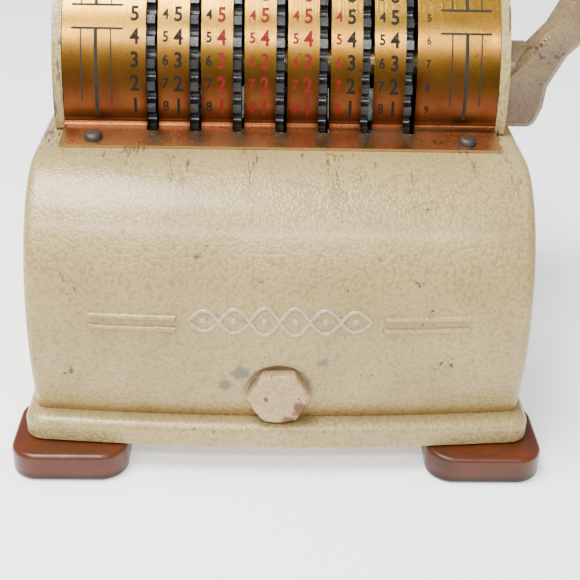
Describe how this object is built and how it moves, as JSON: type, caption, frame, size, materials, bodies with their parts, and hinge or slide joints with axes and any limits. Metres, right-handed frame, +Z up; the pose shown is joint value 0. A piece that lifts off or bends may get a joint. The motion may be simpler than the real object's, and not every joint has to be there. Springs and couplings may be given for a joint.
{
  "type": "adding machine",
  "caption": "Stylus-driven column adding machine with curved slotted dial plate, toothed number wheels, side clearing lever and a bulging cast housing on rubber feet.",
  "frame": {"origin": "centre of the bounding box's base, on the surface the feet stand on", "axes": "+X to the machine's right (the lever side), +Y to its back, +Z up; the dial and front face -Y"},
  "size_m": [0.1902, 0.156, 0.152],
  "materials": {
    "case_paint": "hammertone beige enamel",
    "dial_brass": "brushed and lacquered",
    "screw_steel": "blackened",
    "plain_steel": "plain",
    "spring_steel": "spring steel",
    "spacer_brass": "turned",
    "lens": "clear",
    "lever_paint": "dull taupe enamel",
    "wheel_black": "black satin",
    "foot_rubber": "reddish brown"
  },
  "bodies": {
    "housing": {"casing": "case_paint", "dial_plate": "dial_brass", "plate_screws": "screw_steel", "window_lens": "lens", "rear_cover": "case_paint", "rear_cover_screws": "screw_steel", "base_tray": "case_paint", "foot_front_left": "foot_rubber", "foot_front_right": "foot_rubber", "foot_rear_left": "foot_rubber", "foot_rear_right": "foot_rubber", "foot_screws": "screw_steel", "case_bolt": "case_paint", "bolt_nut": "plain_steel", "side_frame_left": "plain_steel", "side_frame_right": "plain_steel", "tie_rods": "plain_steel", "carry_shaft": "plain_steel", "main_axle": "plain_steel", "axle_nuts": "plain_steel", "wheel_spacers": "spacer_brass", "detent_comb": "plain_steel", "lever_spring": "spring_steel"},
    "clearing": {"lever": "lever_paint", "lever_hub": "plain_steel", "clearing_bail": "plain_steel"},
    "number_wheel_1": {"number_wheel_1": "wheel_black"},
    "number_wheel_2": {"number_wheel_2": "wheel_black"},
    "number_wheel_3": {"number_wheel_3": "wheel_black"},
    "number_wheel_4": {"number_wheel_4": "wheel_black"},
    "number_wheel_5": {"number_wheel_5": "wheel_black"},
    "number_wheel_6": {"number_wheel_6": "wheel_black"},
    "number_wheel_7": {"number_wheel_7": "wheel_black"},
    "carry_lever_1": {"carry_lever_1": "plain_steel"},
    "carry_lever_2": {"carry_lever_2": "plain_steel"},
    "carry_lever_3": {"carry_lever_3": "plain_steel"},
    "carry_lever_4": {"carry_lever_4": "plain_steel"},
    "carry_lever_5": {"carry_lever_5": "plain_steel"},
    "carry_lever_6": {"carry_lever_6": "plain_steel"}
  },
  "joints": [
    {"name": "lever_swing", "type": "hinge", "parent": "housing", "child": "clearing", "pos_m": [-0.0169, 0.022, 0.094], "axis": [1, 0, 0], "range_deg": [0, 75], "stiffness_Nm_per_rad": 0.12, "springref_deg": -20.05},
    {"name": "number_wheel_1_turn", "type": "hinge", "parent": "housing", "child": "number_wheel_1", "pos_m": [-0.0169, 0.022, 0.094], "axis": [1, 0, 0], "continuous": true},
    {"name": "number_wheel_2_turn", "type": "hinge", "parent": "housing", "child": "number_wheel_2", "pos_m": [-0.0169, 0.022, 0.094], "axis": [1, 0, 0], "continuous": true},
    {"name": "number_wheel_3_turn", "type": "hinge", "parent": "housing", "child": "number_wheel_3", "pos_m": [-0.0169, 0.022, 0.094], "axis": [1, 0, 0], "continuous": true},
    {"name": "number_wheel_4_turn", "type": "hinge", "parent": "housing", "child": "number_wheel_4", "pos_m": [-0.0169, 0.022, 0.094], "axis": [1, 0, 0], "continuous": true},
    {"name": "number_wheel_5_turn", "type": "hinge", "parent": "housing", "child": "number_wheel_5", "pos_m": [-0.0169, 0.022, 0.094], "axis": [1, 0, 0], "continuous": true},
    {"name": "number_wheel_6_turn", "type": "hinge", "parent": "housing", "child": "number_wheel_6", "pos_m": [-0.0169, 0.022, 0.094], "axis": [1, 0, 0], "continuous": true},
    {"name": "number_wheel_7_turn", "type": "hinge", "parent": "housing", "child": "number_wheel_7", "pos_m": [-0.0169, 0.022, 0.094], "axis": [1, 0, 0], "continuous": true},
    {"name": "carry_lever_1_rock", "type": "hinge", "parent": "housing", "child": "carry_lever_1", "pos_m": [-0.0169, 0.05797, 0.05999], "axis": [1, 0, 0], "range_deg": [0, 8]},
    {"name": "carry_lever_2_rock", "type": "hinge", "parent": "housing", "child": "carry_lever_2", "pos_m": [-0.0169, 0.05797, 0.05999], "axis": [1, 0, 0], "range_deg": [0, 8]},
    {"name": "carry_lever_3_rock", "type": "hinge", "parent": "housing", "child": "carry_lever_3", "pos_m": [-0.0169, 0.05797, 0.05999], "axis": [1, 0, 0], "range_deg": [0, 8]},
    {"name": "carry_lever_4_rock", "type": "hinge", "parent": "housing", "child": "carry_lever_4", "pos_m": [-0.0169, 0.05797, 0.05999], "axis": [1, 0, 0], "range_deg": [0, 8]},
    {"name": "carry_lever_5_rock", "type": "hinge", "parent": "housing", "child": "carry_lever_5", "pos_m": [-0.0169, 0.05797, 0.05999], "axis": [1, 0, 0], "range_deg": [0, 8]},
    {"name": "carry_lever_6_rock", "type": "hinge", "parent": "housing", "child": "carry_lever_6", "pos_m": [-0.0169, 0.05797, 0.05999], "axis": [1, 0, 0], "range_deg": [0, 8]}
  ]
}
